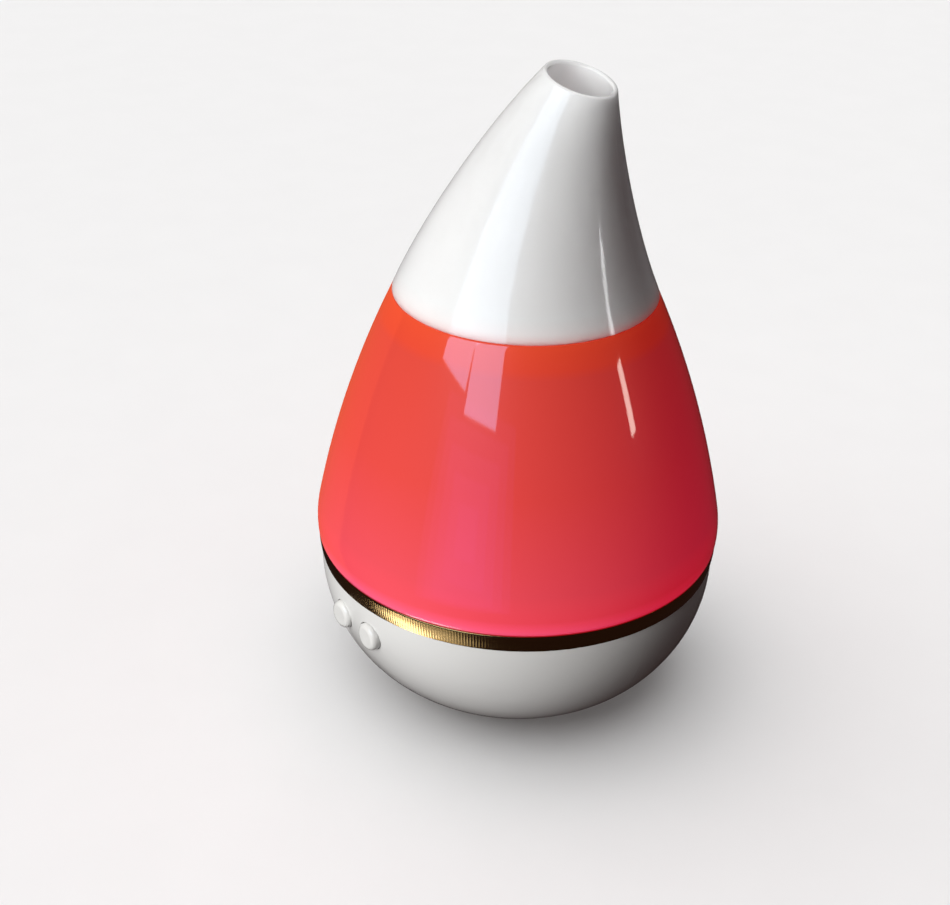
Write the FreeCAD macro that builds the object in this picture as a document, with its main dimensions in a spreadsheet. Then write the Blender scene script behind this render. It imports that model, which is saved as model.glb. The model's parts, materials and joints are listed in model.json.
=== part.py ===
"""Teardrop cool mist humidifier, as a parametric FreeCAD document.

Frame: millimetres, +Z up, origin on the table under the centre line, front (two buttons) towards -Y.
The white base bowl holds the electronics and carries the water tank. The glowing diffuser shell lifts
straight off the tank, and the leaning nozzle cap turns on top of the diffuser.
"""
import FreeCAD, Part
import Sketcher
import math
import os

V = FreeCAD.Vector
doc = FreeCAD.newDocument("Humidifier")

# ------------------------------------------------ driving dimensions, in mm and degrees
SIZES = {
    # base bowl
    "foot_height": 1.5, "floor_thick": 2.2, "bowl_foot_radius": 31.0, "bowl_top": 38.1,
    "bowl_top_radius": 52.0, "bowl_arc": 39.4, "bowl_wall": 2.2, "ledge_radius": 47.4,
    "ledge_depth": 3.1,
    # trim ring, and the seat that the diffuser stands on
    "ring_top": 42.9, "ring_top_radius": 52.7, "ring_inner_radius": 50.2, "ring_arc": 18.0,
    "seat_gap": 0.15,
    # diffuser shell
    "belly_height": 51.0, "belly_arc": 22.5, "side_arc": 258.0, "seam_height": 110.5,
    "seam_radius": 33.0, "shell_wall": 2.0, "land_radius": 31.0, "land_depth": 6.0,
    # nozzle cap: control values of its bent, tapering sweep
    "lean_azimuth": 25.0, "cap_rise_low": 13.9, "cap_rise_high": 38.3, "cap_rise": 54.3,
    "cap_shift_high": 5.9, "cap_shift": 12.1, "cap_radius_low": 27.1, "cap_radius_high": 16.3,
    "mouth_radius": 8.8, "mouth_tilt": 16.9, "cap_wall": 2.2, "mouth_wall": 1.3, "mouth_round": 0.5,
    "skirt_gap": 0.15, "skirt_wall": 1.7, "skirt_root": 2.6, "skirt_bead": 0.45, "bead_slope": 0.35,
    "bead_flat": 0.3,
    # water tank
    "gasket_thick": 0.8, "flange_thick": 2.0, "flange_radius": 49.9, "collar_wall": 1.6,
    "collar_top": 46.5, "tank_wall": 1.7, "tank_wall_low": 2.0, "tank_foot_radius": 44.5,
    "tank_rim_radius": 42.6, "tank_rim": 74.0, "basin_radius": 31.3, "basin_floor": 28.0,
    "well_floor": 26.0, "well_radius": 8.5,
    # fan air duct and the chimney that carries the air up past the water
    "fan_x": 20.0, "fan_side": 25.0, "fan_bottom": 6.5, "fan_height": 7.0, "fan_bore": 11.6,
    "fan_hole_offset": 10.0, "fan_corner": 2.0, "duct_flange": 1.0, "duct_height": 3.0,
    "duct_wall": 1.1, "plenum_radius": 12.3, "riser_end_radius": 7.5, "chimney_x": 31.5,
    "chimney_radius": 8.0, "chimney_bore": 6.6, "chimney_bottom": 24.0, "chimney_top": 70.0,
    "riser_radius": 6.3, "riser_bore": 5.2, "riser_top": 30.0, "chimney_seat": 1.4,
    "chimney_seat_top": 45.0, "hood_radius": 9.3, "hood_top": 76.0, "hood_overlap": 4.0,
    "hood_roof": 1.2, "hood_chamfer": 1.5, "hood_window": 11.0,
    # fan rotor
    "hub_radius": 5.4, "hub_wall": 0.8, "hub_bottom": 8.0, "hub_top": 13.0, "blade_reach": 11.1,
    "blade_chord": 5.0, "blade_thick": 0.8, "blade_pitch": 40.0, "shaft_radius": 0.75,
    "bush_radius": 1.6, "running_gap": 0.04, "stator_radius": 3.7, "stator_height": 3.8,
    "magnet_thick": 0.6, "bush_length": 4.3, "strut_thick": 1.0, "strut_width": 1.8,
    # ultrasonic transducer under the tank
    "seal_radius": 12.0, "seal_height": 3.2, "seal_lip": 8.2, "disc_radius": 10.0, "disc_thick": 1.2,
    "disc_lift": 1.0, "electrode_radius": 4.5, "electrode_thick": 0.2, "clamp_radius": 16.4,
    "clamp_inner": 7.5, "clamp_thick": 1.6, "clamp_step": 0.4, "clamp_screw_circle": 14.3,
    # ring of coloured lights under the tank
    "led_board_bottom": 20.4, "led_board_thick": 1.2, "led_board_inner": 17.5, "led_board_outer": 23.3,
    "led_circle": 20.4, "led_length": 3.5, "led_width": 2.8, "led_height": 1.9,
    # driver board
    "board_x": -22.4, "board_length": 28.4, "board_width": 36.0, "board_bottom": 6.5,
    "board_thick": 1.6, "board_hole_x1": -19.0, "board_hole_x2": 3.0, "board_hole_y": 15.0,
    "sink_x": -12.2, "sink_thick": 1.8, "sink_width": 13.0, "sink_height": 9.2, "fin_length": 7.0,
    "fin_thick": 0.9, "transistor_width": 9.6, "coil_x": -13.0, "coil_y": 11.2, "coil_radius": 3.1,
    "coil_thick": 3.0, "can_x": -3.6, "can_y": 10.6, "can_radius": 3.1, "can_height": 8.0,
    "header_x": 2.4, "header_y": -9.8, "header_step": 4.7, "header_length": 3.2, "header_width": 4.2,
    "header_height": 4.5, "tab_thick": 1.2, "case_thick": 3.2, "chip_length": 4.0, "chip_width": 5.0,
    "chip_height": 1.5,
    # buttons and their switch board
    "button_x": 6.0, "button_height": 30.0, "button_radius": 3.7, "button_hole": 3.9,
    "button_flange": 4.5, "button_flange_thick": 1.2, "button_length": 7.75, "button_edge": 1.3,
    "button_flange_y": 45.0, "button_tail": 1.5, "button_tail_length": 1.5, "button_boss": 5.5,
    "switch_side": 6.0, "switch_depth": 3.4, "switch_face_y": 42.2, "plunger_radius": 1.6,
    "plunger_length": 2.1, "button_board_y": 38.8, "button_board_thick": 1.2, "button_board_half": 15.5,
    "button_board_low": 23.5, "button_board_high": 36.5, "button_post_x": 13.0,
    "button_guide_length": 2.0, "button_post_length": 9.2,
    "button_pilot_depth": 5.0, "switch_well_depth": 1.7,
    # power socket at the back
    "jack_height": 24.0, "jack_half": 4.6, "jack_rise": 5.5, "jack_back": 33.0, "jack_front": 44.6,
    "jack_nose_radius": 3.9, "jack_nose_end": 48.9, "jack_bore": 3.1, "jack_bore_end": 38.9,
    "jack_pin": 1.0, "jack_pin_end": 47.9, "jack_hole": 4.0, "jack_collar": 1.5,
    "jack_collar_length": 8.0,
    # fasteners
    "base_screw_circle": 27.0, "base_boss_radius": 4.2, "base_boss_top": 17.9, "tank_boss_radius": 3.5,
    "tank_boss_top": 26.5, "base_screw_seat": 7.5, "counterbore_radius": 3.1, "base_screw_clear": 1.6,
    "base_screw_pilot": 1.3, "long_head": 2.8, "long_head_height": 1.8, "long_shank": 1.25,
    "base_screw_length": 17.5, "small_head": 1.7, "small_head_height": 1.2, "small_shank": 0.8,
    "small_clear": 1.0, "small_pilot": 0.85, "cross_length": 2.2, "cross_width": 0.5,
    "cross_depth": 0.6, "post_radius": 2.2, "post_pilot_depth": 2.5, "small_pilot_depth": 3.2,
    "base_pilot_depth": 7.5, "clamp_screw_length": 4.6, "led_screw_length": 4.2, "led_stud_length": 4.4,
    "fan_screw_length": 10.2, "board_screw_length": 3.6, "switch_screw_length": 5.0,
    # feet, air intake and leads
    "foot_x": 20.5, "foot_y": 14.3, "foot_radius": 4.0, "foot_recess": 0.5, "foot_chamfer": 0.4,
    "intake_slot": 2.2, "intake_step": 4.0, "intake_reach": 8.5, "lead_radius": 0.8,
    "thin_lead_radius": 0.5,
}
sheet = doc.addObject("Spreadsheet::Sheet", "Sizes")
for row, (alias, size) in enumerate(SIZES.items(), start=1):
    sheet.set(f"A{row}", alias)
    sheet.set(f"B{row}", str(size))
    sheet.setAlias(f"B{row}", alias)
doc.recompute()

NODES = []


def value(expression):
    """The number that an expression on the sheet gives now. Names in it are the sheet's aliases."""
    return float(sheet.evalExpression(cells(expression)))


def cells(expression):
    """The expression with each alias written the way that another object refers to it."""
    words, word = [], ""
    for letter in str(expression) + " ":
        if letter.isalnum() or letter == "_":
            word += letter
            continue
        words.append(f"Sizes.{word}" if word in SIZES else word)
        words.append(letter)
        word = ""
    return "".join(words).strip()


def bind(thing, **properties):
    """Binds properties of an object to expressions. A double underscore stands for a dot."""
    for name, expression in properties.items():
        thing.setExpression(name.replace("__", "."), cells(expression))
    return thing


def node(thing, label):
    """Makes an object a named piece of the model."""
    thing.Label = label
    NODES.append(thing)
    return thing


# ------------------------------------------------ PartDesign helpers
def new_body(label):
    return node(doc.addObject("PartDesign::Body", label + "_body"), label)


def new_sketch(body, name, plane="XZ_Plane", offset="0"):
    """A sketch on one of the body's own origin planes, moved along the plane's normal by offset."""
    sketch = body.newObject("Sketcher::SketchObject", name)
    support = next(f for f in body.Origin.OriginFeatures if f.Role == plane)
    sketch.AttachmentSupport = [(support, "")]
    sketch.MapMode = "FlatFace"
    bind(sketch, AttachmentOffset__Base__z=offset)
    doc.recompute()
    return sketch


def arc_top(start, end, radius, bulge):
    """Highest point of the short arc from start to end, on the side that bulge (1 or -1) gives."""
    chord = end - start
    across = V(-chord.y, chord.x, 0).normalize()
    rise = radius - math.sqrt(radius**2 - (chord.Length / 2) ** 2)
    return (start + end) / 2 + across * (bulge * rise)


def outline(sketch, corners):
    """A closed outline. Each corner is (x, y) or (x, y, radius, bulge) when an arc leaves it.

    An x of None is a corner where two arcs run on smoothly, so the sketch finds it.
    """
    points = [V(value(c[0]) if c[0] is not None else 0, value(c[1]), 0) for c in corners]
    for i, corner in enumerate(corners):
        if corner[0] is None:
            points[i].x = smooth_guess(points[i - 1], points[i], points[(i + 1) % len(points)])
    edges = []
    for i, corner in enumerate(corners):
        start, end = points[i], points[(i + 1) % len(points)]
        if len(corner) == 4:
            top = arc_top(start, end, value(corner[2]), corner[3])
            edges.append(sketch.addGeometry(Part.Arc(start, top, end)))
        else:
            edges.append(sketch.addGeometry(Part.LineSegment(start, end)))
    ends = [edge_ends(sketch, edge, points[i]) for i, edge in enumerate(edges)]
    for i, edge in enumerate(edges):
        following = (i + 1) % len(edges)
        smooth = corners[following][0] is None
        kind = "Tangent" if smooth else "Coincident"
        after, start = edges[following], ends[following][0]
        sketch.addConstraint(Sketcher.Constraint(kind, edge, ends[i][1], after, start))
        if not smooth:
            pin_point(sketch, "DistanceX", after, start, corners[following][0])
        pin_point(sketch, "DistanceY", after, start, corners[following][1])
        if len(corners[i]) == 4:
            number = sketch.addConstraint(Sketcher.Constraint("Radius", edge, value(corners[i][2])))
            sketch.setExpression(f"Constraints[{number}]", cells(corners[i][2]))
    return sketch


def smooth_guess(before, here, after):
    """A first x for a smooth corner: its neighbours' chord, moved out by a twelfth of the chord's length."""
    share = (here.y - before.y) / (after.y - before.y)
    bow = 4 * share * (1 - share) * (after - before).Length / 12
    return before.x + (after.x - before.x) * share + bow


def edge_ends(sketch, edge, start):
    """The sketch's numbers for an edge's own start and end: an arc's may be the other way round."""
    first = sketch.getPoint(edge, 1)
    return (1, 2) if first.distanceToPoint(start) < 1e-6 else (2, 1)


def pin_point(sketch, kind, edge, end, expression):
    """Fixes one coordinate of an edge's end, bound to the sheet."""
    number = sketch.addConstraint(Sketcher.Constraint(kind, -1, 1, edge, end, value(expression)))
    sketch.setExpression(f"Constraints[{number}]", cells(expression))


def circles(sketch, places):
    """Circles at (x, y, radius), each bound to the sheet."""
    for x, y, radius in places:
        edge = sketch.addGeometry(Part.Circle(V(value(x), value(y), 0), V(0, 0, 1), value(radius)))
        pin_point(sketch, "DistanceX", edge, 3, x)
        pin_point(sketch, "DistanceY", edge, 3, y)
        number = sketch.addConstraint(Sketcher.Constraint("Radius", edge, value(radius)))
        sketch.setExpression(f"Constraints[{number}]", cells(radius))
    return sketch


def box_corners(x1, x2, y1, y2):
    return [(x1, y1), (x2, y1), (x2, y2), (x1, y2)]


def revolved(body, name, corners):
    """A full turn of an outline about the upright axis."""
    sketch = outline(new_sketch(body, name + "_outline"), corners)
    turn = body.newObject("PartDesign::Revolution", name)
    turn.Profile = sketch
    turn.ReferenceAxis = (sketch, ["V_Axis"])
    turn.Angle = 360
    sketch.Visibility = False
    doc.recompute()
    return turn


def pad(body, name, sketch, length, back=False):
    """Adds the sketch's shape over a length along its normal, or against it if back is set."""
    feature = body.newObject("PartDesign::Pad", name)
    feature.Profile = sketch
    feature.Reversed = back
    bind(feature, Length=length)
    doc.recompute()
    return feature


def pocket(body, name, sketch, depth, up=False):
    """Cuts the sketch's shape over a depth. It cuts along -normal, or along the normal if up is set."""
    before = body.Shape.Volume
    feature = body.newObject("PartDesign::Pocket", name)
    feature.Profile = sketch
    feature.Reversed = up
    bind(feature, Length=depth)
    doc.recompute()
    if body.Shape.Volume >= before:
        raise RuntimeError(f"{name} cuts nothing")
    return feature


def round_pad(body, name, places, start, length, plane="XY_Plane", back=False):
    """Adds round bosses at (x, y, radius) places, from a height start over a length."""
    sketch = circles(new_sketch(body, name + "_circles", plane, start), places)
    return pad(body, name, sketch, length, back)


def round_pocket(body, name, places, start, depth, plane="XY_Plane", up=False):
    """Cuts round holes at (x, y, radius) places, from a height start over a depth."""
    sketch = circles(new_sketch(body, name + "_circles", plane, start), places)
    return pocket(body, name, sketch, depth, up)


def box_pad(body, name, corners, start, length, plane="XY_Plane"):
    sketch = outline(new_sketch(body, name + "_outline", plane, start), corners)
    return pad(body, name, sketch, length)


def box_pocket(body, name, corners, start, depth, plane="XY_Plane", up=False):
    sketch = outline(new_sketch(body, name + "_outline", plane, start), corners)
    return pocket(body, name, sketch, depth, up)


def sized(places, radius):
    """The places with a radius added to each."""
    return [(x, y, radius) for x, y in places]


# ------------------------------------------------ Part helpers
UPSIDE_DOWN = FreeCAD.Rotation(V(1, 0, 0), 180)
TO_BACK = FreeCAD.Rotation(V(1, 0, 0), -90)
TO_FRONT = FreeCAD.Rotation(V(1, 0, 0), 90)


def place(thing, x="0", y="0", z="0"):
    return bind(thing, Placement__Base__x=x, Placement__Base__y=y, Placement__Base__z=z)


def cylinder(name, radius, height, x="0", y="0", z="0", turn=None):
    """A Part cylinder from its base point, upright unless it is turned."""
    thing = doc.addObject("Part::Cylinder", name)
    if turn:
        thing.Placement.Rotation = turn
    return place(bind(thing, Radius=radius, Height=height), x, y, z)


def tube(name, radius, bore, height, x="0", y="0", z="0"):
    """An upright tube whose bore runs right through."""
    outside = cylinder(name + "_outside", radius, height, x, y, z)
    return cut(name, outside, cylinder(name + "_bore", bore, f"{height} + 2", x, y, f"{z} - 1"))


def box(name, length, width, height, x="0", y="0", z="0"):
    """A Part box whose lowest corner is at x, y, z."""
    thing = doc.addObject("Part::Box", name)
    return place(bind(thing, Length=length, Width=width, Height=height), x, y, z)


def cut(name, base, tool):
    thing = doc.addObject("Part::Cut", name)
    thing.Base, thing.Tool = base, tool
    return thing


def fuse(name, *shapes):
    thing = doc.addObject("Part::MultiFuse", name)
    thing.Shapes = list(shapes)
    return thing


def group(label, shapes):
    """One node of separate solids, such as a set of equal screws."""
    thing = doc.addObject("Part::Compound", label + "_set")
    thing.Links = list(shapes)
    return node(thing, label)


def screw(name, kind, length, x, y, z, turn=None):
    """A cross-head screw whose head bears at x, y, z. Its shank points up unless it is turned."""
    head = cylinder(name + "_head", f"{kind}_head", f"{kind}_head_height", z=f"-{kind}_head_height")
    shank = cylinder(name + "_shank", f"{kind}_shank", length)
    sides = (("cross_length", "cross_width"), ("cross_width", "cross_length"))
    cross = [
        box(f"{name}_cross_{i}", a, b, "cross_depth", f"-{a} / 2", f"-{b} / 2", f"-{kind}_head_height")
        for i, (a, b) in enumerate(sides)
    ]
    whole = cut(name, fuse(name + "_blank", head, shank), fuse(name + "_cross", *cross))
    if turn:
        whole.Placement.Rotation = turn
    return place(whole, x, y, z)


def small_screws(label, places, length, z, turn=None):
    """A node of small screws at (x, y) places, whose heads all bear at one height."""
    group(label, [screw(f"{label}_{i}", "small", length, x, y, z, turn)
                  for i, (x, y) in enumerate(places)])


# ------------------------------------------------ places and heights that several pieces share
FLOOR_TOP = "foot_height + floor_thick"
DUCT_BASE = "fan_bottom + fan_height"
BOARD_TOP = "board_bottom + board_thick"
LED_TOP = "led_board_bottom + led_board_thick"
FLANGE_UNDER = "bowl_top + gasket_thick"
FLANGE_TOP = "bowl_top + gasket_thick + flange_thick"
SEAL_TOP = "well_floor - tank_wall_low"
SEAL_BOTTOM = "well_floor - tank_wall_low - seal_height"
CLAMP_TOP = "well_floor - tank_wall_low - seal_height - clamp_step"
CLAMP_SEAT = "well_floor - tank_wall_low - seal_height - clamp_step - clamp_thick"
SIDES = (1, -1)
QUADRANTS = [(sx, sy) for sx in SIDES for sy in SIDES]


def around(circle, angles):
    """x and y expressions of places on a circle about the upright axis."""
    return [(f"{circle} * cos({angle} deg)", f"{circle} * sin({angle} deg)") for angle in angles]


BASE_SCREWS = around("base_screw_circle", (60, 180, 300))
CLAMP_SCREWS = around("clamp_screw_circle", (60, 180, 300))
LED_SCREWS = around("led_circle", (0, 120, 240))
FAN_SCREWS = [(f"fan_x + {sx} * fan_hole_offset", f"{sy} * fan_hole_offset") for sx, sy in QUADRANTS]
BOARD_SCREWS = [(x, f"{side} * board_hole_y")
                for x in ("board_hole_x1", "board_hole_x2") for side in SIDES]
FEET = [(f"{sx} * foot_x", f"{sy} * foot_y") for sx, sy in QUADRANTS]
BUTTONS = [(f"{side} * button_x", "button_height") for side in SIDES]
BUTTON_POSTS = [(f"{side} * button_post_x", "button_height") for side in SIDES]
CHIMNEY = [("chimney_x", "0")]


# ------------------------------------------------ base
def base_bowl():
    """White bowl: shell with a flat floor, an inner ledge, bosses, intake slots and openings."""
    body = new_body("base_bowl")
    revolved(body, "bowl_shell", [
        ("0", "foot_height"),
        ("bowl_foot_radius", "foot_height", "bowl_arc", -1),
        ("bowl_top_radius", "bowl_top"),
        ("ledge_radius", "bowl_top"),
        ("ledge_radius", "bowl_top - ledge_depth"),
        ("bowl_top_radius - bowl_wall - 0.3", "bowl_top - ledge_depth - 2", "bowl_arc - bowl_wall", 1),
        ("bowl_foot_radius - 1.3", FLOOR_TOP),
        ("0", FLOOR_TOP),
    ])
    inside_floor = f"{FLOOR_TOP} - 0.2"
    round_pad(body, "screw_bosses", sized(BASE_SCREWS, "base_boss_radius"), inside_floor,
              f"base_boss_top - ({inside_floor})")
    posts = FAN_SCREWS + BOARD_SCREWS
    round_pad(body, "posts", sized(posts, "post_radius"), inside_floor, f"fan_bottom - ({inside_floor})")
    jack_collar(body)
    button_bosses(body)
    round_pocket(body, "post_pilots", sized(posts, "small_pilot"), "fan_bottom", "post_pilot_depth")
    round_pocket(body, "screw_holes", sized(BASE_SCREWS, "base_screw_clear"), "foot_height",
                 "base_boss_top", up=True)
    round_pocket(body, "counterbores", sized(BASE_SCREWS, "counterbore_radius"), "foot_height",
                 "base_screw_seat - foot_height", up=True)
    round_pocket(body, "foot_recesses", sized(FEET, "foot_radius + 0.1"), "foot_height", "foot_recess",
                 up=True)
    intake_slots(body)


def intake_slots(body):
    """Five air slots under the fan, shorter towards its sides."""
    for step in range(-2, 3):
        middle = f"fan_x + {step} * intake_step"
        reach = f"sqrt(intake_reach ^ 2 - ({step} * intake_step / 1.4) ^ 2)"
        corners = box_corners(f"{middle} - intake_slot / 2", f"{middle} + intake_slot / 2",
                              f"-{reach}", reach)
        box_pocket(body, f"intake_{step + 2}", corners, "foot_height", "floor_thick + 1", up=True)


def jack_collar(body):
    """Moulded frame on the inside of the back wall that holds the power socket."""
    def frame_corners(margin):
        half, rise = f"jack_half + {margin}", f"jack_rise + {margin}"
        return box_corners(f"-({half})", half, f"jack_height - ({rise})", f"jack_height + {rise}")

    outside = "bowl_top_radius + 2"
    length = "jack_front - jack_back"
    collar_end = "jack_front + 1.4"
    box_pad(body, "jack_collar", frame_corners("0.1 + jack_collar"), f"-({collar_end})",
            "jack_collar_length", "XZ_Plane")
    box_pocket(body, "jack_pocket", frame_corners("0.1"), "-(jack_front + 0.1)", f"{length} + 2",
               "XZ_Plane", up=True)
    round_pocket(body, "jack_opening", [("0", "jack_height", "jack_hole")], f"-({outside})",
                 f"{outside} - jack_front + 2", "XZ_Plane", up=True)


def button_bosses(body):
    """Guides around the two button holes, and the posts of the switch board."""
    outside = "bowl_top_radius + 2"
    for number, guide in enumerate(sized(BUTTONS, "button_boss")):
        round_pad(body, f"button_guide_{number}", [guide], "button_flange_y + button_flange_thick + 0.2",
                  "button_guide_length", "XZ_Plane")
    round_pad(body, "board_posts", sized(BUTTON_POSTS, "post_radius"), "button_board_y",
              "button_post_length", "XZ_Plane")
    round_pocket(body, "button_holes", sized(BUTTONS, "button_hole"), outside,
                 f"{outside} - button_flange_y", "XZ_Plane")
    round_pocket(body, "board_pilots", sized(BUTTON_POSTS, "small_pilot"), "button_board_y",
                 "button_pilot_depth", "XZ_Plane", up=True)


def foot_pads():
    feet = []
    for number, (x, y) in enumerate(FEET):
        blank = cylinder(f"foot_blank_{number}", "foot_radius", "foot_height + foot_recess", x, y)
        doc.recompute()
        foot = doc.addObject("Part::Chamfer", f"foot_{number}")
        foot.Base = blank
        lowest = next(i + 1 for i, e in enumerate(blank.Shape.Edges)
                      if e.isClosed() and e.BoundBox.ZMax < 0.1)
        foot.Edges = [(lowest, SIZES["foot_chamfer"], SIZES["foot_chamfer"])]
        feet.append(foot)
    group("foot_pads", feet)


def base_screws():
    group("base_screws", [screw(f"base_screw_{i}", "long", "base_screw_length", x, y, "base_screw_seat")
                          for i, (x, y) in enumerate(BASE_SCREWS)])


def trim_ring():
    """Brass-coloured band between the bowl and the diffuser."""
    revolved(new_body("trim_ring"), "ring_band", [
        ("ring_inner_radius", "bowl_top"),
        ("bowl_top_radius", "bowl_top", "ring_arc", -1),
        ("ring_top_radius", "ring_top"),
        ("ring_inner_radius", "ring_top"),
    ])


def tank_gasket():
    revolved(new_body("tank_gasket"), "gasket_ring",
             box_corners("ledge_radius + 0.3", "flange_radius - 0.2", "bowl_top", FLANGE_UNDER))


# ------------------------------------------------ water tank
def mist_basin():
    """Lower tank moulding: the deep basin with the transducer's well, and the flange on the bowl."""
    body = new_body("mist_basin")
    revolved(body, "basin_shell", [
        ("well_radius", "well_floor"),
        ("well_radius", SEAL_TOP),
        ("seal_radius + 0.2", SEAL_TOP),
        ("seal_radius + 0.2", CLAMP_TOP),
        ("clamp_radius", CLAMP_TOP),
        ("clamp_radius", "well_floor - 1.5"),
        ("basin_radius - 4.3", "well_floor"),
        ("basin_radius - 0.1", "basin_floor + 2"),
        ("basin_radius + tank_wall", FLANGE_UNDER),
        ("flange_radius", FLANGE_UNDER),
        ("flange_radius", "collar_top"),
        ("flange_radius - collar_wall", "collar_top"),
        ("flange_radius - collar_wall", FLANGE_TOP),
        ("basin_radius + 3.7", FLANGE_TOP),
        ("basin_radius + 2.7", f"{FLANGE_TOP} - 0.4"),
        ("basin_radius", f"{FLANGE_UNDER} + 0.1"),
        ("basin_radius - 2", "basin_floor + 2.8"),
        ("basin_radius - 5", "basin_floor"),
    ])
    boss_bottom = "base_boss_top + 0.1"
    round_pad(body, "chimney_seat", sized(CHIMNEY, "chimney_radius + chimney_seat"), "chimney_bottom + 1",
              "chimney_seat_top - chimney_bottom - 1")
    round_pad(body, "screw_bosses", sized(BASE_SCREWS, "tank_boss_radius"), boss_bottom,
              f"tank_boss_top - ({boss_bottom})")
    round_pad(body, "led_studs", sized(LED_SCREWS, "post_radius - 0.2"), LED_TOP, "led_stud_length")
    round_pocket(body, "chimney_hole", sized(CHIMNEY, "chimney_radius"), "chimney_top",
                 "chimney_top - chimney_bottom + 1")
    round_pocket(body, "screw_pilots", sized(BASE_SCREWS, "base_screw_pilot"), boss_bottom,
                 "base_pilot_depth", up=True)
    round_pocket(body, "clamp_pilots", sized(CLAMP_SCREWS, "small_pilot"), CLAMP_TOP,
                 "small_pilot_depth", up=True)
    round_pocket(body, "led_pilots", sized(LED_SCREWS, "small_pilot"), LED_TOP, "small_pilot_depth", up=True)


def tank_cup():
    """Upper tank moulding: the tapering cup wall, welded on the basin's flange."""
    revolved(new_body("tank_cup"), "cup_wall", [
        ("tank_foot_radius", FLANGE_TOP),
        ("tank_rim_radius", "tank_rim"),
        ("tank_rim_radius - tank_wall", "tank_rim"),
        ("tank_foot_radius - tank_wall", FLANGE_TOP),
    ])


def air_chimney():
    """Tube set in the tank's floor that carries the fan's air up past the water."""
    pipe = tube("chimney_pipe", "chimney_radius", "chimney_bore", "chimney_top - chimney_bottom",
                "chimney_x", z="chimney_bottom")
    node(pipe, "air_chimney")


def chimney_hood():
    """Cap on the chimney that sends the fan's air across the water and keeps splashes out."""
    body = new_body("chimney_hood")
    revolved(body, "hood_shell", [
        ("chimney_radius + 0.1", "chimney_top - hood_overlap"),
        ("hood_radius", "chimney_top - hood_overlap"),
        ("hood_radius", "hood_top - hood_chamfer"),
        ("hood_radius - hood_chamfer", "hood_top"),
        ("0", "hood_top"),
        ("0", "hood_top - hood_roof"),
        ("chimney_bore", "hood_top - hood_roof"),
        ("chimney_bore", "chimney_top"),
        ("chimney_radius + 0.1", "chimney_top"),
    ])
    window = box_corners("-hood_radius - 2", "-hood_radius / 3", "-hood_window / 2", "hood_window / 2")
    box_pocket(body, "hood_window", window, "chimney_top + 0.4",
               "hood_top - hood_roof - chimney_top - 0.4", up=True)
    place(body, x="chimney_x")


def transducer():
    """Piezo disc in its silicone seal under the tank's well, with the clamp and its screws."""
    disc_bottom = f"{SEAL_BOTTOM} + disc_lift"
    revolved(new_body("transducer_seal"), "seal_ring", [
        ("seal_lip", SEAL_TOP),
        ("seal_radius", SEAL_TOP),
        ("seal_radius", SEAL_BOTTOM),
        ("seal_lip + 0.4", SEAL_BOTTOM),
        ("seal_lip + 0.4", disc_bottom),
        ("disc_radius", disc_bottom),
        ("disc_radius", f"{disc_bottom} + disc_thick"),
        ("seal_lip", f"{disc_bottom} + disc_thick"),
    ])
    node(cylinder("disc", "disc_radius", "disc_thick", z=disc_bottom), "transducer_disc")
    electrode = cylinder("electrode", "electrode_radius", "electrode_thick",
                         z=f"{disc_bottom} - electrode_thick")
    node(electrode, "transducer_electrode")
    clamp = new_body("transducer_clamp")
    revolved(clamp, "clamp_plate", [
        ("clamp_inner", CLAMP_SEAT),
        ("clamp_radius", CLAMP_SEAT),
        ("clamp_radius", CLAMP_TOP),
        ("seal_radius - 0.1", CLAMP_TOP),
        ("seal_radius - 0.1", SEAL_BOTTOM),
        ("clamp_inner", SEAL_BOTTOM),
    ])
    round_pocket(clamp, "clamp_holes", sized(CLAMP_SCREWS, "small_clear"), CLAMP_SEAT, "clamp_thick + 1",
                 up=True)
    small_screws("clamp_screws", CLAMP_SCREWS, "clamp_screw_length", CLAMP_SEAT)


def light_ring():
    """Ring board with six coloured lights that shine up through the tank floor."""
    body = new_body("led_board")
    revolved(body, "led_ring",
             box_corners("led_board_inner", "led_board_outer", "led_board_bottom", LED_TOP))
    round_pocket(body, "led_holes", sized(LED_SCREWS, "small_clear"), "led_board_bottom",
                 "led_board_thick + 1", up=True)
    lights = []
    for angle in range(30, 390, 60):
        chip = box(f"led_{angle}", "led_length", "led_width", "led_height")
        turn = FreeCAD.Rotation(V(0, 0, 1), angle + 90)
        shift = turn.multVec(V(-SIZES["led_length"] / 2, -SIZES["led_width"] / 2, 0))
        chip.Placement.Rotation = turn
        [(x, y)] = around("led_circle", [angle])
        lights.append(place(chip, f"{x} + ({shift.x})", f"{y} + ({shift.y})", LED_TOP))
    group("leds", lights)
    small_screws("led_screws", LED_SCREWS, "led_screw_length", "led_board_bottom")


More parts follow.
